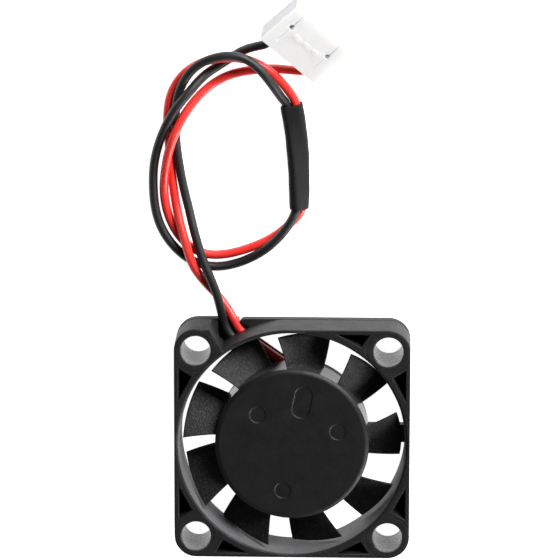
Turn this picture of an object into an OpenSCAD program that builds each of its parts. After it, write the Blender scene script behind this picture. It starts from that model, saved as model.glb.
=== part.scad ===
// Small square axial cooling fan with its two-wire lead and plug.
// Origin: centre of the back face of the frame. Z runs along the rotor axis
// toward the rotor cap, the lead leaves toward +Y.

/* [Frame] */
// Overall side of the square frame
body_w = 24.8; // [20:0.1:32]
// Thickness of the frame
body_t = 6; // [5:0.5:10]
// Corner radius of the frame
corner_r = 2.3; // [1:0.1:4]
// Distance between neighbouring mounting holes
hole_pitch = 20.2; // [16:0.1:26]
// Mounting hole diameter
hole_d = 3.1; // [2:0.1:4.5]
// Thickness of the back flange
flange_t = 1.3; // [0.8:0.1:2]
// Bore radius at the throat
bore_r = 11.85; // [9:0.05:15]
// Bore radius at the open front
bore_front_r = 12.04; // [9:0.01:15.5]

/* [Rotor] */
// Hub outer radius
hub_r = 8.1; // [6:0.1:10]
// Blade tip radius
tip_r = 11.5; // [9:0.1:14.5]
// Number of blades
blade_n = 9; // [5:1:11]
// Blade thickness
blade_t = 0.5; // [0.3:0.05:1]
// Height of the gap under the rotor
rotor_z = 1.7; // [1.5:0.05:2.5]
// Shaft diameter
shaft_d = 1.5; // [1:0.1:2]

/* [Lead] */
// Outer diameter of each wire
wire_d = 0.95; // [0.7:0.05:1.4]
// Wall of the shrink sleeve
sleeve_wall = 0.24; // [0.15:0.01:0.4]
// Pitch of the plug positions
plug_pitch = 1.25; // [1:0.25:2.5]

/* [Hidden] */
$fn = 96;
e = 0.01;
hs = hole_pitch / 2;
hw = body_w / 2;
base_r = 8;
base_t = 0.8;
floor_t = 0.42;
tube_r = 2.1;
tube_in = 1.6;
tube_top = 4.9;
cap_z = 5.2;
front_z = body_t - 0.05;
// direction of the wire channel and the two wire lines in it
chan_a = 144.5;
wire_z = 0.9;

// routes in millimetres, fan end first: x, y, z
black_first = [
  [-1.35, 6.61, 0.9],
  [-3.4, 8.08, 0.9],
  [-5.4, 9.55, 0.9],
  [-6.75, 10.75, 0.92],
  [-7.38, 12.2, 1.05],
  [-7.65, 13.6, 1.55],
  [-8.2, 15.6, 1.62],
  [-9.05, 17.6, 1.7],
  [-9.85, 19.8, 1.55],
  [-10.5, 22.1, 1.3],
  [-11.05, 24.4, 0.9],
  [-11.6, 26.6, 0.78],
  [-12.0, 28.9, 0.9],
  [-12.3, 31.2, 1.03],
  [-12.4, 33.5, 1.0],
  [-12.25, 35.8, 1.15],
  [-11.45, 38.0, 1.45],
  [-10.1, 39.65, 1.85],
  [-8.0, 40.65, 2.4],
  [-5.7, 40.8, 2.52],
  [-3.9, 39.8, 2.5],
  [-2.5, 38.1, 2.25],
  [-1.35, 36.25, 1.15]
];
red_first = [
  [0.18, 6.75, 0.9],
  [-2.1, 8.38, 0.9],
  [-4.4, 10.02, 0.9],
  [-5.55, 11.05, 0.9],
  [-6.27, 12.25, 0.91],
  [-6.95, 13.4, 0.66],
  [-7.85, 14.6, 0.48],
  [-9.4, 16.3, 0.7],
  [-10.6, 18.2, 1.5],
  [-11.3, 20.5, 1.55],
  [-11.95, 22.7, 1.1],
  [-12.45, 25.0, 0.48],
  [-12.75, 27.3, 0.48],
  [-12.95, 29.6, 0.48],
  [-13.15, 31.9, 0.48],
  [-13.25, 34.2, 0.48],
  [-12.85, 36.5, 0.48],
  [-11.6, 38.5, 0.5],
  [-9.7, 39.8, 0.85],
  [-7.4, 40.4, 1.45],
  [-5.1, 40.35, 1.55],
  [-2.9, 39.35, 1.5],
  [-1.3, 37.85, 1.15],
  [-0.3, 36.5, 0.85]
];
// sleeve stations: x, y, z, twist of the pair
sleeve_route = [
  [-0.25, 35.35, 0.76, 0],
  [0.2, 32.6, 0.84, 10],
  [0.46, 29.9, 0.95, 24],
  [0.58, 27.15, 1.05, 38],
  [0.6, 24.4, 1.14, 50]
];
black_second = [
  [-0.85, 22.1, 1.6],
  [-2.6, 20.25, 1.4],
  [-4.4, 18.95, 0.75],
  [-6.5, 18.1, 0.48],
  [-8.7, 17.85, 0.48],
  [-10.9, 18.55, 0.48],
  [-12.7, 20.1, 0.48],
  [-13.95, 22.0, 0.48],
  [-14.6, 24.2, 0.48],
  [-14.8, 26.5, 0.48],
  [-14.7, 28.7, 0.65],
  [-14.2, 31.0, 1.2],
  [-13.4, 33.1, 1.75],
  [-12.3, 35.1, 2.15],
  [-10.85, 36.85, 1.88],
  [-9.3, 38.5, 0.8],
  [-7.4, 39.7, 0.48],
  [-5.5, 41.0, 0.62],
  [-4.2, 41.6, 1.55]
];
red_second = [
  [-0.55, 22.35, 0.49],
  [-2.5, 20.9, 0.48],
  [-4.6, 19.95, 0.48],
  [-6.8, 19.3, 0.48],
  [-9.0, 19.15, 0.48],
  [-10.9, 19.95, 0.48],
  [-12.4, 21.65, 0.48],
  [-13.3, 23.7, 0.48],
  [-13.65, 25.9, 0.65],
  [-13.5, 28.1, 1.2],
  [-13.1, 30.3, 1.72],
  [-12.4, 32.5, 2.1],
  [-11.4, 34.4, 1.7],
  [-10.1, 36.1, 1.05],
  [-8.5, 37.5, 0.5],
  [-6.6, 38.5, 0.48],
  [-4.4, 38.95, 0.48],
  [-2.2, 39.12, 0.48],
  [-0.65, 39.05, 0.68]
];

// where the plug lies: middle of its wire edge, and its turn
plug_pos = [-0.55, 40.9, 1.99];
plug_rot = [21, 12, -41.5];
plug_w = 7.6;
plug_l = 5.7;
plug_h = 2.6;
pair_half = 0.49;
function turn_x(a) = [[1, 0, 0], [0, cos(a), -sin(a)], [0, sin(a), cos(a)]];
function turn_y(a) = [[cos(a), 0, sin(a)], [0, 1, 0], [-sin(a), 0, cos(a)]];
function turn_z(a) = [[cos(a), -sin(a), 0], [sin(a), cos(a), 0], [0, 0, 1]];
function plug_at(v) = plug_pos
  + turn_z(plug_rot[2]) * (turn_y(plug_rot[1]) * (turn_x(plug_rot[0]) * v));
red_end = [plug_at([2 * plug_pitch, -0.25, 0]), plug_at([2 * plug_pitch, 0.85, 0])];
black_end = [plug_at([-2 * plug_pitch, -0.7, 0]), plug_at([-2 * plug_pitch, 0.85, 0])];

function unit(v) = v / norm(v);
function at(p, i) = p[max(0, min(len(p) - 1, i))];
function heading(p, i) = unit([for (k = [0:2]) at(p, i + 1)[k] - at(p, i - 1)[k]]);
function side_of(t) = unit(cross(t, [0, 0, 1]));
function ring(c, t, r, n) =
  let (s = side_of(t), u = cross(s, t))
  [for (k = [0:n - 1])
    let (a = 360 * (k + 0.5) / n)
    c + r * (cos(a) * s + sin(a) * u)];
// the pair inside the sleeve, side = 1 for black and -1 for red
function pair(sgn) = [for (i = [0:len(sleeve_route) - 1])
  let (q = sleeve_route[i], t = heading(sleeve_route, i),
       s = side_of(t), u = cross(s, t))
  [q[0], q[1], q[2]] + sgn * pair_half * (cos(q[3]) * s + sin(q[3]) * u)];

// round cord swept along a route, both ends closed
module cord(path, r, n = 8) {
  m = len(path);
  pts = [for (i = [0:m - 1]) each ring(path[i], heading(path, i), r, n)];
  skin = [for (i = [0:m - 2], k = [0:n - 1])
    let (a = i * n + k, b = i * n + (k + 1) % n, c = a + n, d = b + n)
    each [[a, b, c], [b, d, c]]];
  polyhedron(
    points = pts,
    faces = concat(skin,
      [[for (k = [n - 1:-1:0]) k]],
      [[for (k = [0:n - 1]) (m - 1) * n + k]]));
}

module round_block(h, r, z0, z1) {
  translate([-h + r, -h, z0]) cube([2 * (h - r), 2 * h, z1 - z0]);
  translate([-h, -h + r, z0]) cube([2 * h, 2 * (h - r), z1 - z0]);
  for (x = [-1, 1], y = [-1, 1])
    translate([x * (h - r), y * (h - r), z0]) cylinder(r = r, h = z1 - z0);
}

module disc(r, z0, z1) {
  translate([0, 0, z0]) cylinder(r = r, h = z1 - z0);
}

module tube(ro, ri, z0, z1) {
  difference() {
    disc(ro, z0, z1);
    disc(ri, z0 - 1, z1 + 1);
  }
}

module slab(points, z0, z1) {
  translate([0, 0, z0]) linear_extrude(z1 - z0) polygon(points);
}

// box along the wire channel: x is along it, y across
module channel_box(x0, x1, y0, y1, z0, z1) {
  rotate([0, 0, chan_a])
    translate([x0, y0, z0])
      cube([x1 - x0, y1 - y0, z1 - z0]);
}

module frame_shell() {
  difference() {
    round_block(hw, corner_r, 0, body_t);
    rotate_extrude() polygon([
      [0, -1], [bore_r + 0.12, -1], [bore_r + 0.12, 0], [bore_r, 0.3],
      [bore_r, 4], [bore_front_r - 0.04, body_t - 0.25],
      [bore_front_r + 0.1, body_t], [bore_front_r + 0.1, body_t + 1], [0, body_t + 1]
    ]);
    // light pockets beside the corner bosses
    for (k = [0:3]) rotate([0, 0, 90 * k]) {
      if (k != 1)
        slab([[hw - 0.52, 8.05], [hw - 0.5, 4.88], [10.6, 7.25]], flange_t, body_t + 1);
      slab([[8.05, hw - 0.52], [4.88, hw - 0.5], [7.25, 10.6]], flange_t, body_t + 1);
    }
    // cut-away for the lead between the corner boss and the ring
    difference() {
      slab([[-8.93, hw + 0.5], [-7.2, 9.8], [0.4, 9.8], [0.4, hw + 0.5]], flange_t, body_t + 1);
      disc(bore_front_r + 0.4, 0, body_t + 2);
    }
    // notch in the back flange, over a thin web
    difference() {
      translate([-7.95, 10.4, floor_t]) cube([2.25, 3, 2]);
      disc(bore_front_r + 0.4, -2, 3);
    }
    difference() {
      translate([-5.71, hw - 0.6, -1]) cube([0.61, 1, 3]);
      translate([-5.1, hw - 0.6, -2]) cylinder(r = 0.6, h = 5);
    }
    // window for the wires at the foot of the ring
    slab([[-7.95, 9], [-4.4, 9.8], [-4.75, 11.4], [-5.7, 12], [-5.7, 13], [-7.95, 13]],
      floor_t, 1.5);
    // seam groove around the outside
    difference() {
      round_block(hw + 1, corner_r, flange_t - 0.1, flange_t + 0.08);
      round_block(hw - 0.1, corner_r - 0.1, 0, body_t);
    }
    for (x = [-1, 1], y = [-1, 1])
      translate([x * hs, y * hs, -1]) cylinder(d = hole_d, h = body_t + 2);
  }
}

module struts() {
  intersection() {
    union() {
      translate([6, -0.95, 0]) cube([7, 1.9, 1.2]);
      rotate([0, 0, 236]) translate([6, -0.95, 0]) cube([7, 1.9, 1.2]);
      channel_box(3, 12, -6.15, -4, 0, floor_t);
      channel_box(5, 12, -4, -3.5, 0, flange_t);
    }
    tube(bore_r + 0.3, base_r - 0.4, -1, 3);
  }
}

module motor_base() {
  difference() {
    union() {
      disc(base_r, 0, base_t);
      tube(base_r, base_r - 0.4, 0, flange_t);
      disc(2.5, 0, 2.1);
      disc(tube_r, 0, tube_top);
    }
    disc(tube_in, 0.5, tube_top + 1);
    disc(5.5, -1, 0.12);
    channel_box(3.75, 12, -6.15, -4, floor_t, 3);
  }
}

module frame_housing() {
  color("#222223") {
    frame_shell();
    struts();
    motor_base();
  }
}

module bearing_sleeve() {
  color("#a8834c") tube(tube_in, shaft_d / 2 + 0.02, 1.3, 4.6);
}

module thrust_plate() {
  color("#d8d6cf") disc(tube_in, 0.5, 0.68);
}

module oil_seal() {
  color("#2b2b2b") tube(tube_in, 0.9, 4.6, 4.78);
}

module stator_core() {
  color("#8d9095")
  difference() {
    union() {
      disc(3, 2.3, 3.8);
      for (k = [0:3]) rotate([0, 0, 90 * k]) {
        translate([2, -0.7, 2.3]) cube([3.2, 1.4, 1.5]);
        intersection() {
          tube(5.65, 4.95, 2.3, 3.8);
          slab([[0, 0], [7, -5.4], [9, 0], [7, 5.4]], 2, 4);
        }
      }
    }
    disc(tube_r, 0, 6);
  }
}

module insulator(z0, z1, c0, c1) {
  difference() {
    union() {
      disc(3.15, z0, z1);
      disc(3, c0, c1);
      for (k = [0:3]) rotate([0, 0, 90 * k])
        translate([2, -0.8, z0]) cube([2.85, 1.6, z1 - z0]);
    }
    disc(tube_r, 0, 6);
  }
}

module upper_insulator() {
  color("#e9e4d2") insulator(3.8, 4, 3.8, 4.45);
}

module lower_insulator() {
  color("#e9e4d2") difference() {
    insulator(2.1, 2.3, 2.1, 2.3);
    disc(tube_r, 0, 6);
  }
}

module coil(a) {
  color("#b4652f") rotate([0, 0, a])
  difference() {
    union() {
      translate([3.25, -1.5, 2.15]) cube([1.4, 3, 1.8]);
      translate([3.25, -1.1, 1.75]) cube([1.4, 2.2, 2.6]);
      for (y = [-1.1, 1.1], z = [2.15, 3.95])
        translate([3.25, y, z]) rotate([0, 90, 0]) cylinder(r = 0.4, h = 1.4);
    }
    translate([3, -0.84, 2.08]) cube([2, 1.68, 1.94]);
  }
}

module coil_east() { coil(0); }
module coil_north() { coil(90); }
module coil_west() { coil(180); }
module coil_south() { coil(270); }

module circuit_board() {
  color("#2f6b3f")
  difference() {
    disc(6.6, base_t, 1.25);
    disc(2.5, 0, 3);
    channel_box(3.75, 9, -6.3, -5.1, 0, 3);
    channel_box(4.9, 9, -5.1, -3.9, 0, 3);
    translate([0.59, 6.46, 0]) cylinder(r = 0.5, h = 3);
    translate([-0.94, 6.32, 0]) cylinder(r = 0.5, h = 3);
  }
}

module chip(x, y, a, w, l, h) {
  translate([x, y, 1.25]) rotate([0, 0, a])
    translate([-w / 2, -l / 2, 0]) cube([w, l, h]);
}

module hall_sensor() { color("#1d1d1f") chip(3.55, 3.55, 45, 1.5, 1.4, 0.55); }
module driver_chip() { color("#1d1d1f") chip(-3.5, -3.5, 45, 1.6, 1.9, 0.6); }
module filter_capacitor() { color("#a98d68") chip(3.55, -3.55, -45, 1, 0.6, 0.5); }

module solder_joint_red() {
  color("#c9cbce") translate([0.59, 6.46, base_t]) cylinder(r = 0.5, h = 0.65);
}

module solder_joint_black() {
  color("#c9cbce") translate([-0.94, 6.32, base_t]) cylinder(r = 0.5, h = 0.65);
}

module back_label() { color("#c7c9cc") disc(5.4, 0.02, 0.12); }

// plug frame: x across, y toward the mating end, z out of its top face
module in_plug() {
  translate(plug_pos) rotate(plug_rot) children();
}

module plug_housing() {
  color("#f4f5f5") in_plug()
  difference() {
    union() {
      translate([-plug_w / 2, 0, -plug_h / 2]) cube([plug_w, plug_l, plug_h]);
      // low pads over the three empty positions
      for (k = [-1:1])
        translate([k * plug_pitch, 2.9, plug_h / 2 - 0.3]) cylinder(r = 0.34, h = 0.33);
    }
    for (k = [-2:2])
      translate([k * plug_pitch - 0.5, -1, -0.6]) cube([1, plug_l + 2, 1.2]);
    // windows over the two wired positions
    for (k = [-2, 2])
      translate([k * plug_pitch - 0.22, 3.15, 0]) cube([0.44, 0.6, 3]);
    // locating grooves beside the outer windows
    for (k = [-2, 2])
      translate([k * plug_pitch - 0.06, 1.2, plug_h / 2 - 0.08])
        cube([0.12, plug_l, 1]);
  }
}

module terminal(k) {
  color("#c6a860") in_plug()
  difference() {
    translate([k * plug_pitch - 0.42, 0.9, -0.52]) cube([0.84, 3.9, 1.04]);
    translate([k * plug_pitch - 0.27, 1.5, -0.37]) cube([0.54, 4, 0.74]);
  }
}

module terminal_red() { terminal(2); }
module terminal_black() { terminal(-2); }

module red_wire() {
  color("#d8322c")
    cord(concat(red_first, pair(-1), red_second, red_end), wire_d / 2);
}

module black_wire() {
  color("#1b1b1c")
    cord(concat(black_first, pair(1), black_second, black_end), wire_d / 2);
}

// flattened tube over both wires, twisting with them
module shrink_sleeve() {
  ro = wire_d / 2 + sleeve_wall;
  ri = wire_d / 2 + 0.03;
  n = 16;
  m = len(sleeve_route);
  function oval(q, t, r) =
    let (s = side_of(t), u = cross(s, t),
         a = cos(q[3]) * s + sin(q[3]) * u, b = cross(a, t))
    [for (k = [0:n - 1])
      let (g = 360 * (k + 0.5) / n, c = cos(g) > 0 ? pair_half : -pair_half)
      [q[0], q[1], q[2]] + (r * cos(g) + c) * a + r * sin(g) * b];
  out = [for (i = [0:m - 1]) each oval(sleeve_route[i], heading(sleeve_route, i), ro)];
  inn = [for (i = [0:m - 1]) each oval(sleeve_route[i], heading(sleeve_route, i), ri)];
  o = m * n;
  color("#2d2a2b") polyhedron(
    points = concat(out, inn),
    faces = concat(
      [for (i = [0:m - 2], k = [0:n - 1])
        let (a = i * n + k, b = i * n + (k + 1) % n)
        each [[a, a + n, b], [b, a + n, b + n]]],
      [for (i = [0:m - 2], k = [0:n - 1])
        let (a = o + i * n + k, b = o + i * n + (k + 1) % n)
        each [[a, b, a + n], [b, b + n, a + n]]],
      [for (k = [0:n - 1])
        let (a = k, b = (k + 1) % n)
        each [[a, b, o + a], [b, o + b, o + a]]],
      [for (k = [0:n - 1])
        let (a = (m - 1) * n + k, b = (m - 1) * n + (k + 1) % n)
        each [[a, o + a, b], [b, o + a, o + b]]]));
}

// one twisted blade; u runs from leading to trailing edge, v from root to tip
module blade(turn) {
  nu = 8;
  nv = 3;
  z_hi = 5.3;
  z_lo = 2.0;
  r0 = hub_r - 0.35;
  function edge_a(u, v) =
    (-3.6 + (24.2 + 3.6) * u) * (1 - v) + (-7.7 + (20.1 + 7.7) * u) * v + turn;
  function mid_z(u) = z_hi - (z_hi - z_lo) * u - 0.22 * sin(180 * u);
  function half_z(u) = blade_t * 0.62 * (0.5 + 0.5 * sin(180 * pow(u, 0.8)));
  function spot(i, j, s) =
    let (u = i / nu, v = j / nv, r = r0 + (tip_r - r0) * v, a = edge_a(u, v))
    [r * sin(a), r * cos(a), mid_z(u) + s * half_z(u)];
  w = nv + 1;
  o = (nu + 1) * w;
  polyhedron(
    points = concat(
      [for (i = [0:nu], j = [0:nv]) spot(i, j, 1)],
      [for (i = [0:nu], j = [0:nv]) spot(i, j, -1)]),
    faces = concat(
      [for (i = [0:nu - 1], j = [0:nv - 1])
        let (a = i * w + j)
        each [[a, a + 1, a + w], [a + 1, a + w + 1, a + w]]],
      [for (i = [0:nu - 1], j = [0:nv - 1])
        let (a = o + i * w + j)
        each [[a, a + w, a + 1], [a + 1, a + w, a + w + 1]]],
      [for (i = [0:nu - 1])
        let (a = i * w, b = a + w)
        each [[a, b, o + a], [b, o + b, o + a]]],
      [for (i = [0:nu - 1])
        let (a = i * w + nv, b = a + w)
        each [[a, o + a, b], [b, o + a, o + b]]],
      [for (j = [0:nv - 1])
        each [[j, o + j, j + 1], [j + 1, o + j, o + j + 1]]],
      [for (j = [0:nv - 1])
        let (a = nu * w + j)
        each [[a, a + 1, o + a], [a + 1, o + a + 1, o + a]]]));
}

module hub() {
  difference() {
    rotate_extrude() polygon([
      [0, cap_z], [7.4, cap_z], [7.4, rotor_z], [hub_r, rotor_z],
      [hub_r, front_z - 0.18], [hub_r - 0.18, front_z], [0, front_z]
    ]);
    // shallow marks in the cap
    for (p = [[-3.62, 3.16], [4.8, 1.39], [-0.96, -5.03]])
      translate([p[0], p[1], front_z - 0.1]) cylinder(r = 0.85, h = 1);
    translate([1.07, 4.55, front_z - 0.1]) rotate([0, 0, -11]) {
      translate([-0.95, -0.75, 0]) cube([1.9, 1.5, 1]);
      for (y = [-0.75, 0.75]) translate([0, y, 0]) cylinder(r = 0.95, h = 1);
    }
    disc(shaft_d / 2, 0, 5.6);
  }
  tube(1.3, shaft_d / 2, 4.85, cap_z + e);
}

module impeller() {
  color("#232324") {
    hub();
    for (k = [0:blade_n - 1]) blade(360 * k / blade_n);
  }
}

module rotor_yoke() {
  color("#a9abb0") {
    tube(7.4, 7, 1.9, cap_z);
    tube(7.4, 2.6, cap_z - 0.3, cap_z);
  }
}

module ring_magnet() { color("#4a4745") tube(7, 6, 2, 4.7); }

module shaft() {
  color("#d5d7da") difference() {
    disc(shaft_d / 2, 0.72, 5.6);
    tube(2, 0.6, 0.9, 1.12);
  }
}

module retaining_clip() { color("#b9bcc2") tube(1.25, 0.6, 0.93, 1.09); }

frame_housing();
bearing_sleeve();
thrust_plate();
oil_seal();
stator_core();
upper_insulator();
lower_insulator();
coil_east();
coil_north();
coil_west();
coil_south();
circuit_board();
hall_sensor();
driver_chip();
filter_capacitor();
solder_joint_red();
solder_joint_black();
back_label();
red_wire();
black_wire();
shrink_sleeve();
plug_housing();
terminal_red();
terminal_black();
impeller();
rotor_yoke();
ring_magnet();
shaft();
retaining_clip();
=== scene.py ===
import math
import bmesh
import bpy
import numpy as np
from mathutils import Matrix, Vector


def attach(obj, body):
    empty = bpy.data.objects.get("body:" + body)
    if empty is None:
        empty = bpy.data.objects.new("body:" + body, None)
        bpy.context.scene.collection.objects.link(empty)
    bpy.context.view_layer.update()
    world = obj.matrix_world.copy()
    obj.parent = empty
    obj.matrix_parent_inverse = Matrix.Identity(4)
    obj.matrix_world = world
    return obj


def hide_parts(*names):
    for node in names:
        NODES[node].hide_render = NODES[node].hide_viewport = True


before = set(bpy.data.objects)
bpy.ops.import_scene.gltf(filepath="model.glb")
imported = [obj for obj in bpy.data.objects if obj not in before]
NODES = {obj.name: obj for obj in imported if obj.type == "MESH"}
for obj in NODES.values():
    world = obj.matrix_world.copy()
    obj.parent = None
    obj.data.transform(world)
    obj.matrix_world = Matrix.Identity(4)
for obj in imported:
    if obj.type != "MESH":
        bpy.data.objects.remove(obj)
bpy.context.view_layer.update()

MM = 0.001
SCENE = bpy.context.scene

# ---------------------------------------------------------------- camera
cam = bpy.data.objects.new("camera", bpy.data.cameras.new("camera"))
SCENE.collection.objects.link(cam)
cam.data.sensor_width = 36
cam.data.lens = 273.9
cam.data.clip_start, cam.data.clip_end = 0.02, 10
CAM_RIGHT = (0.99952, 0.00114, -0.03105)
CAM_UP = (-0.00826, 0.97313, -0.23012)
CAM_BACK = (0.02995, 0.23027, 0.97267)
CAM_AT = (12.023, 119.973, 437.69)
cam_matrix = Matrix((CAM_RIGHT, CAM_UP, CAM_BACK)).transposed().to_4x4()
cam_matrix.translation = Vector(CAM_AT) * MM
cam.matrix_world = cam_matrix
SCENE.camera = cam

# ---------------------------------------------------------------- lead
# Routes in mm, fan end first: 1 from the circuit board to the sleeve, 2 from the sleeve to the plug.
BLACK_1 = [[-1.35, 6.61, .9], [-3.4, 8.08, .9], [-5.4, 9.55, .9], [-6.75, 10.75, .92],
           [-7.38, 12.2, 1.05], [-7.65, 13.6, 1.55], [-8.2, 15.6, 1.62], [-9.05, 17.6, 1.7],
           [-9.85, 19.8, 1.55], [-10.5, 22.1, 1.3], [-11.05, 24.4, .9], [-11.6, 26.6, .78],
           [-12.0, 28.9, .9], [-12.3, 31.2, 1.03], [-12.4, 33.5, 1.0], [-12.25, 35.8, 1.15],
           [-11.45, 38.0, 1.45], [-10.1, 39.65, 1.85], [-8.0, 40.65, 2.4], [-5.7, 40.8, 2.52],
           [-3.9, 39.8, 2.5], [-2.5, 38.1, 2.25], [-1.35, 36.25, 1.15]]
RED_1 = [[0.18, 6.75, .9], [-2.1, 8.38, .9], [-4.4, 10.02, .9], [-5.55, 11.05, .9],
         [-6.27, 12.25, .91], [-6.95, 13.4, .66], [-7.85, 14.6, .48], [-9.4, 16.3, .7],
         [-10.6, 18.2, 1.5], [-11.3, 20.5, 1.55], [-11.95, 22.7, 1.1], [-12.45, 25.0, .48],
         [-12.75, 27.3, .48], [-12.95, 29.6, .48], [-13.15, 31.9, .48], [-13.25, 34.2, .48],
         [-12.85, 36.5, .48], [-11.6, 38.5, .5], [-9.7, 39.8, .85], [-7.4, 40.4, 1.45],
         [-5.1, 40.35, 1.55], [-2.9, 39.35, 1.5], [-1.3, 37.85, 1.15], [-0.3, 36.5, .85]]
# Middle line of the sleeve and, last in each row, how far the pair has twisted there in degrees.
SLEEVE = [[-0.25, 35.35, .76, 0], [0.2, 32.6, .84, 10], [0.46, 29.9, .95, 24], [0.58, 27.15, 1.05, 38],
          [0.6, 24.4, 1.14, 50]]
BLACK_2 = [[-0.85, 22.1, 1.6], [-2.6, 20.25, 1.4], [-4.4, 18.95, .75], [-6.5, 18.1, .48],
           [-8.7, 17.85, .48], [-10.9, 18.55, .48], [-12.7, 20.1, .48], [-13.95, 22.0, .48],
           [-14.6, 24.2, .48], [-14.77, 26.5, .48], [-14.7, 28.7, .65], [-14.2, 31.0, 1.2],
           [-13.4, 33.1, 1.75], [-12.3, 35.1, 2.15], [-10.85, 36.85, 1.88], [-9.3, 38.5, .8],
           [-7.4, 39.7, .48], [-5.5, 41.0, .62], [-4.2, 41.6, 1.55]]
RED_2 = [[-0.55, 22.35, .49], [-2.5, 20.9, .48], [-4.6, 19.95, .48], [-6.8, 19.3, .48],
         [-9.0, 19.15, .48], [-10.9, 19.95, .48], [-12.4, 21.65, .48], [-13.3, 23.7, .48],
         [-13.65, 25.9, .65], [-13.5, 28.1, 1.2], [-13.1, 30.3, 1.72], [-12.4, 32.5, 2.1],
         [-11.4, 34.4, 1.7], [-10.1, 36.1, 1.05], [-8.5, 37.5, .5], [-6.6, 38.5, .48],
         [-4.4, 38.95, .48], [-2.2, 39.12, .48], [-0.65, 39.05, .68]]
WIRE_R = 0.475
WIRE_STEP = 0.3  # spacing of the points along a wire
PAIR_HALF = 0.49  # half the distance between the wires inside the sleeve
WIRE_GAP = 0.965  # least distance between the wires' middle lines, a little over a diameter
FLOOR_GAP = 0.004  # how far a wire's underside stays above the floor
# The plug's own frame: x across, y from the wires to the mating end, z up; origin on the wire face's middle.
PLUG_HALF_W, PLUG_L, PLUG_HALF_H = 3.8, 5.7, 1.3
WIRED_X = 2.5  # the two wired positions, left and right of the middle
CRIMP_Y = 0.85  # where a wire ends inside the plug
PLUG = (Matrix.Translation((-0.55, 40.9, 1.99)) @ Matrix.Rotation(math.radians(-41.5), 4, "Z")
        @ Matrix.Rotation(math.radians(12), 4, "Y") @ Matrix.Rotation(math.radians(21), 4, "X"))


def unit(v):
    return v / np.linalg.norm(v)


def heading(p, i):
    """Direction of the line p at point i."""
    return unit(p[min(i + 1, len(p) - 1)] - p[max(i - 1, 0)])


def side_up(t):
    """Two unit vectors across the direction t, the first one level."""
    s = unit(np.cross(t, (0.0, 0.0, 1.0)))
    return s, np.cross(s, t)


def pair(sgn):
    """Points of one wire inside the sleeve; sgn says on which side of the pair it runs."""
    q = np.array(SLEEVE)
    out = []
    for i in range(len(q)):
        s, u = side_up(heading(q[:, :3], i))
        a = math.radians(q[i, 3])
        out.append(q[i, :3] + sgn * PAIR_HALF * (math.cos(a) * s + math.sin(a) * u))
    return out


def plug_end(x, out):
    """Last two points of a wire: out mm before the plug, and at its contact."""
    return [list(PLUG @ Vector((x, -out, 0))), list(PLUG @ Vector((x, CRIMP_Y, 0)))]


def smooth(points, step):
    """Cubic curve through the points, one point every step."""
    p = np.array(points, float)
    d = np.linalg.norm(np.diff(p, axis=0), axis=1) ** 0.8
    t = np.concatenate([[0], np.cumsum(d)])
    m = np.zeros_like(p)
    for i in range(len(p)):
        a, b = max(i - 1, 0), min(i + 1, len(p) - 1)
        m[i] = (p[b] - p[a]) / (t[b] - t[a])
    fine = []
    for i in range(len(p) - 1):
        h = t[i + 1] - t[i]
        for k in range(24):
            u = k / 24
            fine.append((2 * u**3 - 3 * u**2 + 1) * p[i] + (u**3 - 2 * u**2 + u) * h * m[i]
                        + (-2 * u**3 + 3 * u**2) * p[i + 1] + (u**3 - u**2) * h * m[i + 1])
    fine.append(p[-1])
    return resample(np.array(fine), step)


def resample(p, step):
    """The same line with evenly spaced points."""
    s = np.concatenate([[0], np.cumsum(np.linalg.norm(np.diff(p, axis=0), axis=1))])
    n = int(round(s[-1] / step))
    at = np.linspace(0, s[-1], n + 1)
    return np.stack([np.interp(at, s, p[:, k]) for k in range(3)], 1)


def settle(lines, gap=WIRE_GAP, rounds=40):
    """Moves the two wires' centrelines apart where they come closer than gap.
    Points in the sleeve, at the plug and inside the fan stay where they are."""
    end_points = 10  # points held at the plug
    fan_y = 13.0  # nothing moves on the fan's side of this
    sleeve_y, sleeve_x = (23.2, 36.6), -2.2  # the sleeve lies between the two y and to the right of x
    neighbours = 12  # points this near along the same wire do not push each other
    relax = 0.35
    keep = []
    for p in lines:
        s = np.arange(len(p))
        in_sleeve = (p[:, 1] > sleeve_y[0]) & (p[:, 1] < sleeve_y[1]) & (p[:, 0] > sleeve_x)
        near_end = s > len(p) - end_points
        keep.append(np.where(in_sleeve | near_end | (p[:, 1] < fan_y), 0.0, 1.0))
    n0 = len(lines[0])
    p = np.concatenate(lines)
    w = np.concatenate(keep)
    wire = np.concatenate([np.zeros(n0), np.ones(len(p) - n0)])
    idx = np.concatenate([np.arange(n0), np.arange(len(p) - n0)])
    far = (wire[:, None] != wire[None, :]) | (np.abs(idx[:, None] - idx[None, :]) > neighbours)
    for _ in range(rounds):
        d = p[:, None, :] - p[None, :, :]
        r = np.linalg.norm(d, axis=2) + 1e-9
        hit = far & (r < gap)
        push = (d / r[..., None] * ((gap - r) * 0.5)[..., None] * hit[..., None])
        cnt = np.maximum(hit.sum(1), 1)[:, None]
        move = push.sum(1) / cnt * w[:, None]
        p = p + move
        q = p.copy()
        q[1:-1] = 0.5 * p[1:-1] + 0.25 * (p[:-2] + p[2:])
        for a, b in ((0, n0), (n0, len(p))):
            inner = np.arange(a + 1, b - 1)
            p[inner] += (q[inner] - p[inner]) * (relax * w[inner])[:, None]
        low = (p[:, 2] < WIRE_R + FLOOR_GAP) & (w > 0)
        p[low, 2] = WIRE_R + FLOOR_GAP
    return p[:n0], p[n0:]


black_line = smooth(BLACK_1 + pair(1) + BLACK_2 + plug_end(-WIRED_X, 0.7), WIRE_STEP)
red_line = smooth(RED_1 + pair(-1) + RED_2 + plug_end(WIRED_X, 0.25), WIRE_STEP)
black_line, red_line = settle([black_line, red_line])


def new_object(name, bm):
    me = bpy.data.meshes.new(name)
    bm.normal_update()
    bm.to_mesh(me)
    bm.free()
    ob = bpy.data.objects.new(name, me)
    SCENE.collection.objects.link(ob)
    for f in me.polygons:
        f.use_smooth = True
    return ob


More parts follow.
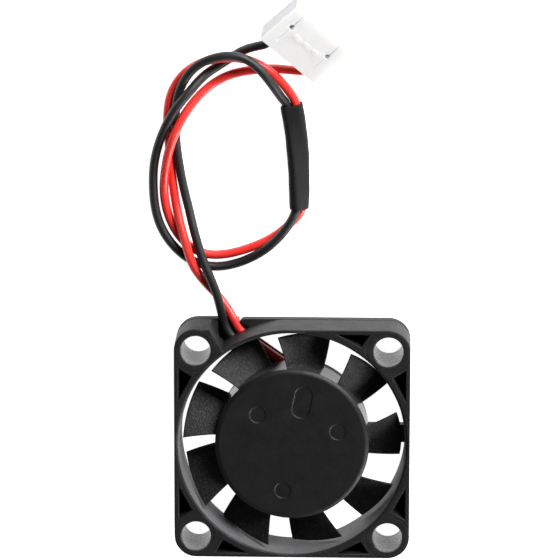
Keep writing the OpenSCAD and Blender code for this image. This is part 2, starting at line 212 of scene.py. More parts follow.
def tube(name, line, radius, sides=18, cap=0.08):
    """Round cord with softly rounded ends; u runs along it in mm, v round it in mm."""
    turn = 2 * math.pi * radius / sides
    bm = bmesh.new()
    uv = bm.loops.layers.uv.new("UVMap")
    p = np.array(line)
    t = np.gradient(p, axis=0)
    t /= np.linalg.norm(t, axis=1)[:, None]
    n = side_up(t[0])[0]
    rings, along = [], []
    s = np.concatenate([[0], np.cumsum(np.linalg.norm(np.diff(p, axis=0), axis=1))])
    stations = [(0, radius - cap, -0.5 * cap)] + [(i, radius, 0.0) for i in range(len(p))]
    stations.append((len(p) - 1, radius - cap, 0.5 * cap))
    for i, r, push in stations:
        n = unit(n - t[i] * np.dot(n, t[i]))
        b = np.cross(t[i], n)
        rings.append([bm.verts.new((p[i] + push * t[i] + r * (math.cos(a) * n + math.sin(a) * b)) * MM)
                      for a in (2 * math.pi * k / sides for k in range(sides))])
        along.append(s[i] + push)
    for i in range(len(rings) - 1):
        for k in range(sides):
            j = (k + 1) % sides
            f = bm.faces.new((rings[i][k], rings[i][j], rings[i + 1][j], rings[i + 1][k]))
            corners = ((along[i], k), (along[i], k + 1), (along[i + 1], k + 1), (along[i + 1], k))
            for loop, w in zip(f.loops, corners):
                loop[uv].uv = (w[0], w[1] * turn)
    bm.faces.new(list(reversed(rings[0])))
    bm.faces.new(rings[-1])
    bmesh.ops.recalc_face_normals(bm, faces=bm.faces)
    return new_object(name, bm)


def length_of(line):
    return float(np.linalg.norm(np.diff(line, axis=0), axis=1).sum())


red_lead = tube("red_lead", red_line, WIRE_R)
black_lead = tube("black_lead", black_line, WIRE_R)


def sleeve_piece():
    """Shrink tube round both wires: a waisted oval that twists with the pair, open at both ends."""
    step = 0.2  # spacing of the rings
    ro, ri = WIRE_R + 0.235, WIRE_R + 0.03  # the tube's outer and inner radius round each wire
    q = np.array(SLEEVE)
    line = smooth(q[:, :3], step)
    s = np.linspace(0, 1, len(line))
    twist = np.radians(np.interp(s, np.linspace(0, 1, len(q)), q[:, 3]))
    sides, m = 44, len(line)
    bm = bmesh.new()
    uv = bm.loops.layers.uv.new("UVMap")

    def ring(i, r, push, slant):
        t = heading(line, i)
        sd, u = side_up(t)
        a = math.cos(twist[i]) * sd + math.sin(twist[i]) * u
        b = np.cross(a, t)
        outer = r > (ro + ri) / 2
        out = []
        for k in range(sides):
            g = 2 * math.pi * (k + 0.5) / sides
            waist = 0.055 * math.exp(-((math.cos(g) / 0.5) ** 2)) if outer else 0.0
            c = PAIR_HALF * math.tanh(math.cos(g) * 6)
            x = (r - 0.01) * math.cos(g) + c
            y = (r - waist) * math.sin(g)
            lump = 0.012 * math.sin(1.7 * i * step + 2 * g) + 0.008 * math.sin(3.1 * i * step - g)
            if not outer:
                lump = 0.0
            pt = line[i] + (x + lump * math.cos(g)) * a + (y + lump * math.sin(g)) * b
            pt = pt + t * (push + slant * math.sin(g + 0.6))
            out.append(bm.verts.new(pt * MM))
        return out

    # Each ring's line point, radius, push along the tube and slant of the cut end. They start inside one end,
    # go round its lip, along the outside and round the other lip.
    last = m - 1
    stations = [(0, ri, 0.9, 0), (0, ri, 0.05, .1), (0, ri + 0.05, -0.04, .12), (0, ro - 0.07, -0.05, .12),
                (0, ro - 0.015, 0.0, .12), (1, ro - 0.005, 0.0, .11), (2, ro, 0, .08), (4, ro, 0, .03)]
    stations += [(i, ro, 0, 0) for i in range(6, last - 5)]
    stations += [(last - 4, ro, 0, .03), (last - 2, ro, 0, .08), (last - 1, ro - 0.005, 0, .11),
                 (last, ro - 0.015, 0, .12), (last, ro - 0.07, 0.05, .12), (last, ri + 0.05, 0.04, .12),
                 (last, ri, -0.05, .1), (last, ri, -0.9, 0)]
    rings = [ring(*st) for st in stations]
    rings.append(rings[0])
    for i in range(len(rings) - 1):
        for k in range(sides):
            j = (k + 1) % sides
            f = bm.faces.new((rings[i][k], rings[i][j], rings[i + 1][j], rings[i + 1][k]))
            for loop, w in zip(f.loops, ((i, k), (i, k + 1), (i + 1, k + 1), (i + 1, k))):
                loop[uv].uv = (w[0] * step, w[1] * 0.1)
    bmesh.ops.recalc_face_normals(bm, faces=bm.faces)
    return new_object("sleeve", bm)


sleeve = sleeve_piece()


# ---------------------------------------------------------------- hard pieces, sizes in mm
WELD = 2e-6  # in metres: vertices of a CAD mesh nearer than this are one
SHARP = math.radians(28)  # an edge that turns more than this is rounded
NORMAL_WEIGHT = 80
HOLE_AT, HOLE_R = 10.1, 1.55  # the screw holes' places, plus or minus in x and y, and their radius
BORE_R, HUB_R = 12.0, 8.1
LABEL_R = 5.5


def from_cad(node, width, fine, fine_width, segments=2):
    """A copy of a CAD node, welded, with its edges rounded by width; the rounding sets the face layer "edge".
    fine(point in mm) picks the edges that get fine_width instead."""
    bm = bmesh.new()
    bm.from_mesh(NODES[node].data)
    bmesh.ops.remove_doubles(bm, verts=bm.verts, dist=WELD)
    bmesh.ops.recalc_face_normals(bm, faces=bm.faces)
    edge = bm.faces.layers.float.new("edge")

    def is_sharp(e):
        return len(e.link_faces) == 2 and e.calc_face_angle(0) > SHARP

    def is_fine(e):
        return any(fine(v.co / MM) for v in e.verts)

    for want, w in ((False, width), (True, fine_width)):
        es = [e for e in bm.edges
              if is_sharp(e) and is_fine(e) == want and not any(f[edge] for f in e.link_faces)]
        made = bmesh.ops.bevel(bm, geom=es, offset=w * MM, offset_type="OFFSET", segments=segments,
                               profile=0.6, affect="EDGES", clamp_overlap=False, loop_slide=True)
        for f in made["faces"]:
            f[edge] = 1.0
    return bm


def finish_hard(name, bm):
    ob = new_object(name, bm)
    md = ob.modifiers.new("normals", "WEIGHTED_NORMAL")
    md.weight = NORMAL_WEIGHT
    md.keep_sharp = False
    return ob


def frame_fine(p):
    """The step round the outside, the label's recess, the motor base and the struts are rounded less."""
    r = math.hypot(p.x, p.y)
    step = max(abs(p.x), abs(p.y)) > 12.1 and 1.1 < p.z < 1.45
    label = abs(r - LABEL_R) < 0.1 and p.z < 0.2
    base = r < HUB_R + 0.2
    struts = p.z < 1.6 and r < BORE_R + 0.3
    return step or label or base or struts


bm = from_cad("frame_housing", 0.12, frame_fine, 0.035)
smooth_wall = bm.verts.layers.float.new("smoothwall")
bore_wall = bm.verts.layers.float.new("borewall")
# smoothwall marks the hole walls and borewall the bore wall; the material paints reflections on both
for v in bm.verts:
    p = v.co / MM
    r = math.hypot(p.x, p.y)
    hole = math.hypot(abs(p.x) - HOLE_AT, abs(p.y) - HOLE_AT)
    v[smooth_wall] = 1.0 if hole < HOLE_R + 0.05 else 0.0
    v[bore_wall] = 1.0 if BORE_R - 0.3 < r < BORE_R + 0.16 and 0.05 < p.z < 5.85 else 0.0
fan_frame = finish_hard("fan_frame", bm)
to_plug = PLUG.inverted()


def plug_fine(p):
    """Only the outer edges of the plug's block, away from the wired positions, get the large rounding."""
    q = to_plug @ p
    near = 0.02
    at_sides = abs(abs(q.x) - PLUG_HALF_W) < near
    at_ends = q.y < near or q.y > PLUG_L - near
    at_faces = abs(abs(q.z) - PLUG_HALF_H) < near
    return at_sides + at_ends + at_faces < 2 or abs(abs(q.x) - WIRED_X) < 0.3


bm = from_cad("plug_housing", 0.045, plug_fine, 0.012, segments=3)
bm.normal_update()
painted_shade_layer = bm.faces.layers.float.new("painted_shade")
# painted shade: end walls get 1 and the wired grooves 0.2, and the material paints them darker grey
for f in bm.faces:
    q = to_plug @ (f.calc_center_median() / MM)
    end_wall = abs((to_plug.to_3x3() @ f.normal).x) > 0.6 and abs(q.x) > PLUG_HALF_W - 0.3
    groove = abs(abs(q.x) - WIRED_X) < 0.1 and PLUG_HALF_H - 0.1 < q.z < PLUG_HALF_H - 0.003 and q.y > 1.1
    f[painted_shade_layer] = 1.0 if end_wall else 0.2 if groove else 0.0
plug_body = finish_hard("plug_body", bm)


# ---------------------------------------------------------------- impeller
HUB_TOP = 5.95
MARK_DEPTH = 0.75  # scales the profile of the marks' rims


def rings_between(bm, rings):
    """Faces between neighbouring rings of vertices."""
    for a, b in zip(rings, rings[1:]):
        n = len(a)
        for k in range(n):
            j = (k + 1) % n
            bm.faces.new((a[k], a[j], b[j], b[k]))


def circle(bm, r, z, n):
    return [bm.verts.new((r * math.cos(a) * MM, r * math.sin(a) * MM, z * MM))
            for a in (2 * math.pi * k / n for k in range(n))]


def oblong(c, r, half, turn, n):
    """Outline points and outward normals of a rounded slot, a circle where half is 0; turn in radians."""
    pts = []
    for k in range(n):
        a = 2 * math.pi * (k + 0.5) / n
        nx, ny = math.cos(a), math.sin(a)
        y = half if ny > 0 else -half
        pts.append(((nx * r, ny * r + y), (nx, ny)))
    ct, st = math.cos(turn), math.sin(turn)
    rot = lambda v: (v[0] * ct - v[1] * st, v[0] * st + v[1] * ct)
    return [((rot(p)[0] + c[0], rot(p)[1] + c[1]), rot(nv)) for p, nv in pts]


def hub_piece(bm):
    n = 160
    # radius and height: the cup's inside, its rim, the outer wall, then a narrow chamfer up to the flat cap
    inside = [(2.6, 4.86), (7.36, 4.86), (7.4, 4.82), (7.4, 1.78)]
    rim_and_wall = [(7.42, 1.72), (7.46, 1.7), (8.04, 1.7), (8.08, 1.72), (HUB_R, 1.77), (HUB_R, 5.66),
                    (HUB_R, 5.7)]
    chamfer = [(8.095, 5.75), (8.075, 5.79), (8.04, 5.815), (7.85, 5.885), (7.82, 5.905), (7.77, 5.92),
               (7.735, 5.925), (7.72, 5.93), (7.7, 5.94), (7.66, 5.948), (7.6, HUB_TOP)]
    rings = [circle(bm, r, z, n) for r, z in inside + rim_and_wall + chamfer]
    rings_between(bm, rings)
    bm.faces.new(list(reversed(rings[0])))
    loops = [rings[-1]]
    marks = [oblong(c, 0.85, 0.0, 0.0, 44) for c in ((-3.62, 3.16), (4.8, 1.39), (-0.96, -5.03))]
    marks.append(oblong((1.07, 4.55), 0.95, 0.75, math.radians(-11), 64))
    # how far outside the mark's outline, and how high
    mark_rim = [(0.11, 0.0), (0.065, -0.006), (0.025, -0.025), (-0.015, -0.055), (-0.055, -0.08),
                (-0.1, -0.095), (-0.16, -0.1)]
    for mark in marks:
        rs = []
        for o, z in mark_rim:
            z = (HUB_TOP + MARK_DEPTH * z) * MM
            rs.append([bm.verts.new(((p[0] + o * nv[0]) * MM, (p[1] + o * nv[1]) * MM, z)) for p, nv in mark])
        rings_between(bm, rs)
        bm.faces.new(rs[-1])
        loops.append(rs[0])
    edges = []
    for loop in loops:
        for k in range(len(loop)):
            ends = (loop[k], loop[(k + 1) % len(loop)])
            edges.append(bm.edges.get(ends) or bm.edges.new(ends))
    bmesh.ops.triangle_fill(bm, use_beauty=True, use_dissolve=False, edges=edges)


def blade_piece(bm, turn):
    """One twisted blade; turn is its place in degrees clockwise from +Y."""
    nu, z_hi, z_lo = 26, 5.3, 2.0  # points from the leading to the trailing edge, and the heights of the two
    radii = [7.9, 8.06, 8.12, 8.2, 8.32, 8.5, 8.8, 9.2, 9.7, 10.2, 10.7, 11.1, 11.34, 11.43, 11.48, 11.5]
    r0, tip = 7.75, radii[-1]
    span = 27.8  # the blade's width in degrees
    lead_in, lead_out = -3.6, -7.7  # its leading edge at r0 and at the tip, in degrees
    thick, sag = 0.31, 0.22  # half of the greatest thickness, and how hollow the blade is
    root, tip_round = 0.26, 0.12  # radii of the fillet at the hub and of the rounded tip
    chord, edge_round = 4.9, 0.14  # the blade's width in mm and the rounding of its two edges
    rows = []
    for r in radii:
        v = (r - r0) / (tip - r0)
        d = max(r - HUB_R, 0.0)
        fillet = root - math.sqrt(max(root**2 - (root - min(d, root)) ** 2, 0)) if d < root else 0.0
        shrink = 1.0
        if r > tip - tip_round:
            x = (r - (tip - tip_round)) / tip_round
            shrink = 0.35 + 0.65 * math.sqrt(max(1 - x * x, 0))
        top, low = [], []
        for i in range(nu + 1):
            u = 0.5 - 0.5 * math.cos(math.pi * i / nu)
            ang = (lead_in + span * u) * (1 - v) + (lead_out + span * u) * v + turn
            mid = z_hi - (z_hi - z_lo) * u - sag * math.sin(math.pi * u)
            half = thick * (0.5 + 0.5 * math.sin(math.pi * u**0.8))
            ends = min(u, 1 - u) * chord / edge_round
            half *= math.sqrt(max(1 - (1 - min(ends, 1)) ** 2, 0.03))
            half = half * shrink + fillet
            a = math.radians(ang)
            top.append((r * math.sin(a), r * math.cos(a), mid + half))
            low.append((r * math.sin(a), r * math.cos(a), mid - half))
        rows.append([bm.verts.new(Vector(p) * MM) for p in top + list(reversed(low))])
    rings_between(bm, rows)
    bm.faces.new(rows[-1])
    bm.faces.new(list(reversed(rows[0])))


bm = bmesh.new()
side_wall = bm.verts.layers.float.new("sidewall")
hub_piece(bm)
for v in bm.verts:
    v[side_wall] = 1.0 if v.co.xy.length > (HUB_R - 0.01) * MM and v.co.z < 5.71 * MM else 0.0
bmesh.ops.recalc_face_normals(bm, faces=bm.faces)
hub = finish_hard("rotor_hub", bm)
BLADES = 9
bm = bmesh.new()
for k in range(BLADES):
    blade_piece(bm, 360 / BLADES * k)
bmesh.ops.recalc_face_normals(bm, faces=bm.faces)
blades = new_object("rotor_blades", bm)


# ---------------------------------------------------------------- materials
class Mat:
    """A Principled material; textures run in millimetres of the piece's own frame."""

    def __init__(self, name, color=(0.5, 0.5, 0.5), rough=0.5, metal=0.0, **sockets):
        self.mat = bpy.data.materials.new(name)
        self.mat.use_nodes = True
        self.t = self.mat.node_tree
        self.b = self.t.nodes["Principled BSDF"]
        self.b.inputs["Base Color"].default_value = (*color, 1)
        self.b.inputs["Roughness"].default_value = rough
        self.b.inputs["Metallic"].default_value = metal
        for key, value in sockets.items():
            self.b.inputs[key.replace("_", " ")].default_value = value
        co = self.t.nodes.new("ShaderNodeTexCoord")
        self.mm = self.vector("MULTIPLY", co.outputs["Object"], (1000, 1000, 1000))
        self.uv = co.outputs["UV"]

    def node(self, kind, op, values, out=0):
        n = self.t.nodes.new(kind)
        n.operation = op
        for i, v in enumerate(values):
            self.put(n.inputs[i], v)
        return n.outputs[out]

    def put(self, socket, v):
        if isinstance(v, bpy.types.NodeSocket):
            self.t.links.new(v, socket)
        else:
            socket.default_value = v

    def math(self, op, *values):
        return self.node("ShaderNodeMath", op, values)

    def vector(self, op, *values):
        return self.node("ShaderNodeVectorMath", op, values)

    def length(self, vec):
        return self.node("ShaderNodeVectorMath", "LENGTH", (vec,), out="Value")

    def noise(self, scale, detail=3.0, rough=0.55, at=None, stretch=None):
        n = self.t.nodes.new("ShaderNodeTexNoise")
        vec = at or self.mm
        if stretch:
            vec = self.vector("MULTIPLY", vec, stretch)
        self.put(n.inputs["Vector"], vec)
        n.inputs["Scale"].default_value = scale
        n.inputs["Detail"].default_value = detail
        n.inputs["Roughness"].default_value = rough
        return n.outputs[0]

    def cells(self, scale):
        n = self.t.nodes.new("ShaderNodeTexVoronoi")
        self.put(n.inputs["Vector"], self.mm)
        n.inputs["Scale"].default_value = scale
        return n.outputs["Distance"]

    def ramp(self, fac, *stops):
        """stops are (position, grey) or (position, colour)."""
        n = self.t.nodes.new("ShaderNodeValToRGB")
        self.put(n.inputs[0], fac)
        cr = n.color_ramp
        for i, (pos, col) in enumerate(stops):
            el = cr.elements[i] if i < 2 else cr.elements.new(pos)
            el.position = pos
            el.color = (*(col if hasattr(col, "__len__") else (col,) * 3), 1)
        return n.outputs[0]

    def mix(self, fac, a, b):
        n = self.t.nodes.new("ShaderNodeMix")
        n.data_type = "RGBA"
        self.put(n.inputs[0], fac)
        for s, v in ((n.inputs[6], a), (n.inputs[7], b)):
            self.put(s, v if isinstance(v, bpy.types.NodeSocket) else (*v, 1))
        return n.outputs[2]

    def attr(self, name):
        n = self.t.nodes.new("ShaderNodeAttribute")
        n.attribute_name = name
        return n.outputs["Fac"]

    def bump(self, *layers):
        """layers are (height, depth in mm)."""
        last = None
        for height, depth in layers:
            n = self.t.nodes.new("ShaderNodeBump")
            n.inputs["Strength"].default_value = 1.0
            n.inputs["Distance"].default_value = depth * MM
            self.put(n.inputs["Height"], height)
            if last is not None:
                self.put(n.inputs["Normal"], last)
            last = n.outputs[0]
        self.put(self.b.inputs["Normal"], last)

    def color(self, v):
        self.put(self.b.inputs["Base Color"], v)

    def rough(self, v):
        self.put(self.b.inputs["Roughness"], v)


def black_plastic(name, dark, light, rough, grain, housing=False, deep=1.0, ior=1.42, speck=0.0):
    """Moulded black plastic: clouds, dust and grain in colour, roughness and bump.
    The housing has worn edges, smooth hole walls painted light grey as a painted reflection, a faint ring
    round each hole, and a bore wall painted lighter as a painted reflection.
    The other pieces have a glossier side wall, also painted lighter as a painted reflection."""
    m = Mat(name, dark, rough[0], 0.0, IOR=ior)
    cloud = m.noise(0.5, 4, 0.6)
    fine = m.noise(grain, 3, 0.6)
    spark = m.cells(grain * 1.4)
    col = m.mix(m.ramp(cloud, (0.3, 0.0), (0.72, 1.0)), dark, light)
    dust = m.ramp(m.noise(2.3, 5, 0.7), (0.58, 0.0), (0.8, 0.35))
    col = m.mix(dust, col, tuple(c * 1.9 for c in light))
    if speck:
        bits = m.ramp(m.noise(grain * 1.3, 2, 0.7), (0.5, 0.0), (0.72, 1.0))
        col = m.mix(bits, col, tuple(c + speck for c in light))
    ro = m.math("MULTIPLY_ADD", m.ramp(cloud, (0.25, 0.0), (0.75, 1.0)), rough[1] - rough[0], rough[0])
    ro = m.math("ADD", ro, m.math("MULTIPLY_ADD", fine, 0.16, -0.08))
    layers = [(m.noise(0.9, 2, 0.5), 0.012 * deep), (fine, 0.007 * deep), (spark, 0.005 * deep)]
    if housing:
        worn = m.math("MULTIPLY", m.attr("edge"), m.ramp(m.noise(1.6, 4, 0.6), (0.38, 0.25), (0.66, 1.0)))
        col = m.mix(worn, col, tuple(c * 2.2 for c in light))
        ro = m.math("SUBTRACT", ro, m.math("MULTIPLY", worn, 0.12))
        wall = m.attr("smoothwall")
        bore = m.attr("borewall")
        # painted reflection: the hole walls are painted light grey, broken up by the grain
        col = m.mix(m.math("MULTIPLY", wall, fine), col, (0.13, 0.13, 0.135))
        # painted reflection: the bore wall is painted lighter grey, broken up by the grain
        painted_bore_sheen = m.math("MULTIPLY", bore, m.math("MULTIPLY_ADD", fine, 1.6, 0.15))
        col = m.mix(painted_bore_sheen, col, (0.105, 0.105, 0.109))
        ro = m.math("MULTIPLY", ro, m.math("SUBTRACT", 1.0, wall))
        ro = m.math("ADD", ro, m.math("MULTIPLY", wall, 0.15))
        from_hole = m.vector("SUBTRACT", m.vector("ABSOLUTE", m.mm), (HOLE_AT, HOLE_AT, 0))
        from_hole = m.length(m.vector("MULTIPLY", from_hole, (1, 1, 0)))
        # the ramp covers 5 mm, so the ring lies 2.2 to 2.45 mm from a hole's middle
        fifth = m.math("MULTIPLY", from_hole, 0.2)
        ring = m.ramp(fifth, (0.44, 1.0), (0.455, 0.0), (0.475, 0.0), (0.49, 1.0))
        layers.insert(0, (ring, 0.014))
    else:
        wall = m.attr("sidewall")
        # painted reflection: the side wall is painted lighter grey as well as made glossier
        col = m.mix(wall, col, (0.03, 0.03, 0.031))
        ro = m.math("SUBTRACT", ro, m.math("MULTIPLY", wall, 0.27))
    m.color(col)
    m.rough(ro)
    m.bump(*layers)
    return m.mat


def insulation(name, dark, light, rough, coat):
    """Wire insulation, streaked along the wire."""
    m = Mat(name, light, rough, 0.0, IOR=1.49, Coat_Weight=coat, Coat_Roughness=0.18)
    streak = m.noise(1.0, 4, 0.6, at=m.uv, stretch=(0.35, 6.0, 1.0))
    cloud = m.noise(0.7, 4, 0.6)
    m.color(m.mix(m.ramp(m.math("ADD", m.math("MULTIPLY", streak, 0.5), m.math("MULTIPLY", cloud, 0.5)),
                         (0.36, 0.0), (0.64, 1.0)), dark, light))
    m.rough(m.math("MULTIPLY_ADD", m.noise(5, 3, 0.6), 0.22, rough - 0.11))
    m.bump((streak, 0.012), (m.noise(3.5, 4, 0.6), 0.014), (m.noise(16, 2, 0.5), 0.003))
    return m.mat


def simple(name, dark, light, rough, metal=0.0, scale=3.0, bump=0.01, stretch=None):
    """Two tones in clouds of the given scale, with finer roughness and bump."""
    m = Mat(name, light, rough, metal)
    n1 = m.noise(scale, 4, 0.6, stretch=stretch)
    n2 = m.noise(scale * 5, 3, 0.5, stretch=stretch)
    m.color(m.mix(m.ramp(n1, (0.3, 0.0), (0.7, 1.0)), dark, light))
    m.rough(m.math("MULTIPLY_ADD", n2, 0.25, rough - 0.12))
    m.bump((n1, bump), (n2, bump * 0.4))
    return m


def stripes(m, scale, depth):
    """Gives m a bump of level bands, as laminations or turns of wire."""
    w = m.t.nodes.new("ShaderNodeTexWave")
    w.wave_type = "BANDS"
    w.bands_direction = "Z"
    m.put(w.inputs["Vector"], m.mm)
    w.inputs["Scale"].default_value = scale
    w.inputs["Distortion"].default_value = 0.3
    m.bump((w.outputs["Fac"], depth), (m.noise(8, 3, 0.5), 0.005))


FRAME = black_plastic("frame_plastic", (0.0030, 0.0030, 0.0033), (0.0044, 0.0044, 0.0048), (0.56, 0.66), 5.0,
                      housing=True, deep=3.5, ior=1.34, speck=0.013)
HUB = black_plastic("hub_plastic", (0.0029, 0.0029, 0.0032), (0.0040, 0.0040, 0.0044), (0.44, 0.52), 7.0)
# painted light: the blades are painted about twice as light as the hub, though the impeller is one plastic
BLADE_PAINTED_LIGHTER = black_plastic("blade_plastic_painted_lighter", (0.0062, 0.0062, 0.0065), (0.0080, 0.0080, 0.0084), (0.54, 0.64), 4.5,
                      deep=6.0, ior=1.32, speck=0.034)
RED = insulation("red_insulation", (0.62, 0.018, 0.014), (0.78, 0.034, 0.027), 0.38, 0.2)
BLACK = insulation("black_insulation", (0.0050, 0.0050, 0.0056), (0.0085, 0.0085, 0.0093), 0.52, 0.0)

m = Mat("shrink_tube", (0.01, 0.009, 0.009), 0.65, 0.0, IOR=1.33)
wrinkle = m.noise(1.1, 4, 0.6, stretch=(1.6, 0.5, 1.6))
clouds = m.ramp(m.noise(0.8, 4, 0.6), (0.3, 0.0), (0.7, 1.0))
m.color(m.mix(clouds, (0.0026, 0.0022, 0.0023), (0.0046, 0.0038, 0.0040)))
m.rough(m.math("MULTIPLY_ADD", m.noise(6, 3, 0.6), 0.2, 0.55))
m.bump((wrinkle, 0.03), (m.noise(9, 3, 0.6), 0.006))
SHRINK = m.mat

m = Mat("natural_nylon", (0.9, 0.89, 0.87), 0.38, 0.0, IOR=1.53, Subsurface_Weight=0.6,
        Subsurface_Scale=0.001)
m.b.inputs["Subsurface Radius"].default_value = (0.6, 0.55, 0.5)
milky = m.mix(m.ramp(m.noise(0.6, 4, 0.6), (0.3, 0.0), (0.7, 1.0)), (0.95, 0.95, 0.952), (0.98, 0.98, 0.98))
# painted shade: the end walls and grooves are painted darker grey
m.color(m.mix(m.attr("painted_shade"), milky, (0.36, 0.37, 0.395)))
m.rough(m.math("MULTIPLY_ADD", m.noise(5, 3, 0.6), 0.2, 0.28))
m.bump((m.noise(2.5, 3, 0.5), 0.012), (m.noise(12, 3, 0.5), 0.004))
NYLON = m.mat

TIN = simple("tinned_terminal", (0.74, 0.71, 0.66), (0.92, 0.90, 0.86), 0.42, 1.0, 2.0, 0.01,
             (0.4, 2.0, 2.0)).mat
BRONZE = simple("sintered_bronze", (0.38, 0.24, 0.11), (0.55, 0.37, 0.18), 0.45, 1.0, 9.0, 0.02).mat
THRUST = simple("thrust_disc", (0.62, 0.61, 0.57), (0.75, 0.74, 0.7), 0.35, 0.0, 4.0, 0.006).mat
SEAL = simple("seal_rubber", (0.016, 0.016, 0.016), (0.03, 0.03, 0.03), 0.7, 0.0, 6.0, 0.012).mat
m = simple("lamination_steel", (0.32, 0.33, 0.34), (0.48, 0.49, 0.5), 0.42, 1.0, 3.0, 0.01)
stripes(m, 1.6, 0.03)
LAMINATION = m.mat
INSULATOR = simple("insulator_plastic", (0.72, 0.68, 0.56), (0.84, 0.8, 0.7), 0.45, 0.0, 3.0, 0.008).mat
m = simple("copper_winding", (0.5, 0.16, 0.06), (0.72, 0.3, 0.12), 0.3, 1.0, 3.0, 0.01)
stripes(m, 3.0, 0.05)
COPPER = m.mat
m = simple("circuit_board", (0.012, 0.075, 0.025), (0.02, 0.13, 0.045), 0.32, 0.0, 1.4, 0.004)
trace = m.cells(0.9)
m.bump((m.ramp(trace, (0.35, 0.0), (0.4, 1.0)), 0.02), (m.noise(12, 3, 0.5), 0.003))
BOARD = m.mat
CHIP = simple("chip_plastic", (0.013, 0.013, 0.014), (0.022, 0.022, 0.023), 0.6, 0.0, 9.0, 0.008).mat
CERAMIC = simple("chip_ceramic", (0.4, 0.27, 0.14), (0.52, 0.37, 0.21), 0.4, 0.0, 5.0, 0.006).mat
SOLDER = simple("solder", (0.6, 0.6, 0.6), (0.78, 0.78, 0.79), 0.22, 1.0, 2.5, 0.03).mat
YOKE = simple("yoke_steel", (0.4, 0.41, 0.42), (0.56, 0.57, 0.59), 0.36, 1.0, 2.0, 0.008, (1, 1, 6)).mat
MAGNET = simple("magnet", (0.045, 0.042, 0.04), (0.08, 0.075, 0.072), 0.62, 0.2, 7.0, 0.015).mat
SHAFT = simple("shaft_steel", (0.62, 0.63, 0.64), (0.75, 0.76, 0.77), 0.2, 1.0, 2.0, 0.004, (1, 1, 9)).mat
CLIP = simple("clip_plastic", (0.55, 0.56, 0.58), (0.68, 0.69, 0.71), 0.45, 0.0, 4.0, 0.006).mat

# blank foil label: fine brushed grain, a dull line near the rim
m = Mat("label_foil", (0.6, 0.61, 0.62), 0.36, 0.85)
brushed = m.noise(2.2, 4, 0.65, stretch=(0.35, 9.0, 1.0))
from_axis = m.length(m.vector("MULTIPLY", m.mm, (1, 1, 0)))
# the ramp covers 10 mm, so the line lies 4.8 to 4.95 mm from the axis
rim = m.ramp(m.math("MULTIPLY", from_axis, 0.1), (0.478, 0.0), (0.482, 1.0), (0.494, 1.0), (0.498, 0.0))
foil = m.mix(m.ramp(brushed, (0.3, 0.0), (0.7, 1.0)), (0.52, 0.53, 0.54), (0.66, 0.67, 0.68))
m.color(m.mix(rim, foil, (0.12, 0.12, 0.125)))
m.rough(m.math("MULTIPLY_ADD", brushed, 0.25, 0.26))
m.bump((brushed, 0.008), (m.noise(1.1, 3, 0.5), 0.02))
LABEL = m.mat


# ---------------------------------------------------------------- bodies, finishes and CAD nodes
for ob, mat, body, nodes, slot in (
        (fan_frame, FRAME, "frame", ("frame_housing",), "housing_plastic"),
        (hub, HUB, "rotor", ("impeller",), "rotor_plastic"),
        (blades, BLADE_PAINTED_LIGHTER, "rotor", ("impeller",), "rotor_plastic"),
        (plug_body, NYLON, "frame", ("plug_housing",), "natural_nylon"),
        (sleeve, SHRINK, "frame", ("shrink_sleeve",), "shrink_tube"),
        (red_lead, RED, "frame", ("red_wire",), "red_insulation"),
        (black_lead, BLACK, "frame", ("black_wire",), "black_insulation")):
    ob.data.materials.append(mat)
    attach(ob, body)
    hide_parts(*nodes)

# the CAD nodes that are shown as they are, with the width of their rounded edges in mm
for node, mat, edge in (
        ("bearing_sleeve", BRONZE, 0.05), ("thrust_plate", THRUST, 0.02), ("oil_seal", SEAL, 0.02),
        ("stator_core", LAMINATION, 0.03), ("upper_insulator", INSULATOR, 0.03),
        ("lower_insulator", INSULATOR, 0.03), ("coil_east", COPPER, 0.08), ("coil_north", COPPER, 0.08),
        ("coil_west", COPPER, 0.08), ("coil_south", COPPER, 0.08), ("circuit_board", BOARD, 0.02),
        ("hall_sensor", CHIP, 0.04), ("driver_chip", CHIP, 0.04), ("filter_capacitor", CERAMIC, 0.03),
        ("solder_joint_red", SOLDER, 0.12), ("solder_joint_black", SOLDER, 0.12),
        ("back_label", LABEL, 0.02), ("terminal_red", TIN, 0.03), ("terminal_black", TIN, 0.03),
        ("rotor_yoke", YOKE, 0.04), ("ring_magnet", MAGNET, 0.06), ("shaft", SHAFT, 0.04),
        ("retaining_clip", CLIP, 0.03)):
    ob = NODES[node]
    if ob.data.materials:
        for k in range(len(ob.data.materials)):
            ob.data.materials[k] = mat
    else:
        ob.data.materials.append(mat)
    weld = ob.modifiers.new("weld", "WELD")
    weld.merge_threshold = WELD
    bev = ob.modifiers.new("edge", "BEVEL")
    bev.width = edge * MM
    bev.segments = 2
    bev.limit_method = "ANGLE"
    bev.angle_limit = math.radians(35)
    wn = ob.modifiers.new("normals", "WEIGHTED_NORMAL")
    wn.weight = NORMAL_WEIGHT

print("lead lengths mm", round(length_of(black_line), 2), round(length_of(red_line), 2))

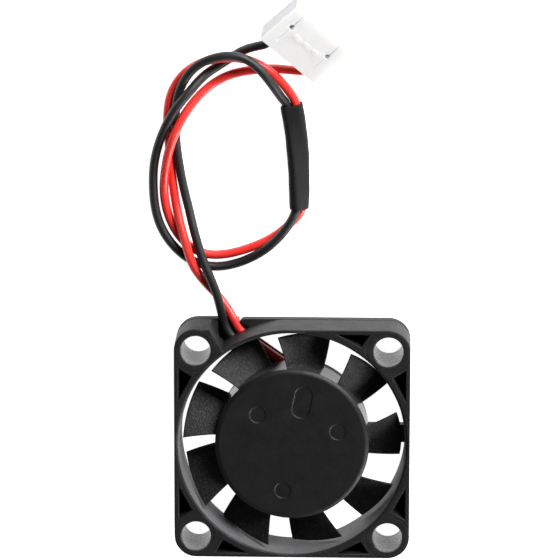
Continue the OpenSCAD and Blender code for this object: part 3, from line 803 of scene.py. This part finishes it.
# ---------------------------------------------------------------- floor and light
bm = bmesh.new()
bmesh.ops.create_grid(bm, x_segments=1, y_segments=1, size=1.5)
floor = new_object("floor", bm)
floor.location = (0, 0.02, -0.00002)
m = Mat("floor_white", (0.9, 0.9, 0.9), 0.7)
m.b.inputs["Emission Color"].default_value = (1, 1, 1, 1)
m.b.inputs["Emission Strength"].default_value = 1.0
floor.data.materials.append(m.mat)


def softbox(name, at, aim, w, h, watts):
    light = bpy.data.lights.new(name, "AREA")
    light.shape = "RECTANGLE"
    light.size, light.size_y = w, h
    light.energy = watts
    ob = bpy.data.objects.new(name, light)
    SCENE.collection.objects.link(ob)
    ob.location = at
    ob.rotation_mode = "QUATERNION"
    ob.rotation_quaternion = (Vector(aim) - Vector(at)).to_track_quat("-Z", "Y")


softbox("key", (0.26, 0.36, 0.26), (0, 0.01, 0), 0.26, 0.26, 5.5)
softbox("right", (0.42, -0.38, 0.24), (0, 0.01, 0), 0.25, 0.16, 3.0)

# the room: darker overhead, and dimmer on the left
world = bpy.data.worlds.new("studio")
SCENE.world = world
world.use_nodes = True
wt = world.node_tree
bg = wt.nodes["Background"]
co = wt.nodes.new("ShaderNodeTexCoord")
sep = wt.nodes.new("ShaderNodeSeparateXYZ")
wt.links.new(co.outputs["Generated"], sep.inputs[0])
cr = wt.nodes.new("ShaderNodeValToRGB")
cr.color_ramp.elements[0].position = 0.0
cr.color_ramp.elements[0].color = (0.85, 0.85, 0.85, 1)
cr.color_ramp.elements[1].position = 0.45
cr.color_ramp.elements[1].color = (0.08, 0.08, 0.08, 1)
wt.links.new(sep.outputs["Z"], cr.inputs[0])
side = wt.nodes.new("ShaderNodeMapRange")
for k, v in enumerate((-1.0, 0.1, 0.5, 1.0)):  # from min and max of x to min and max of strength
    side.inputs[k + 1].default_value = v
wt.links.new(sep.outputs["X"], side.inputs[0])
wt.links.new(side.outputs[0], bg.inputs["Strength"])
wt.links.new(cr.outputs[0], bg.inputs[0])
SCENE.view_settings.view_transform = "Standard"
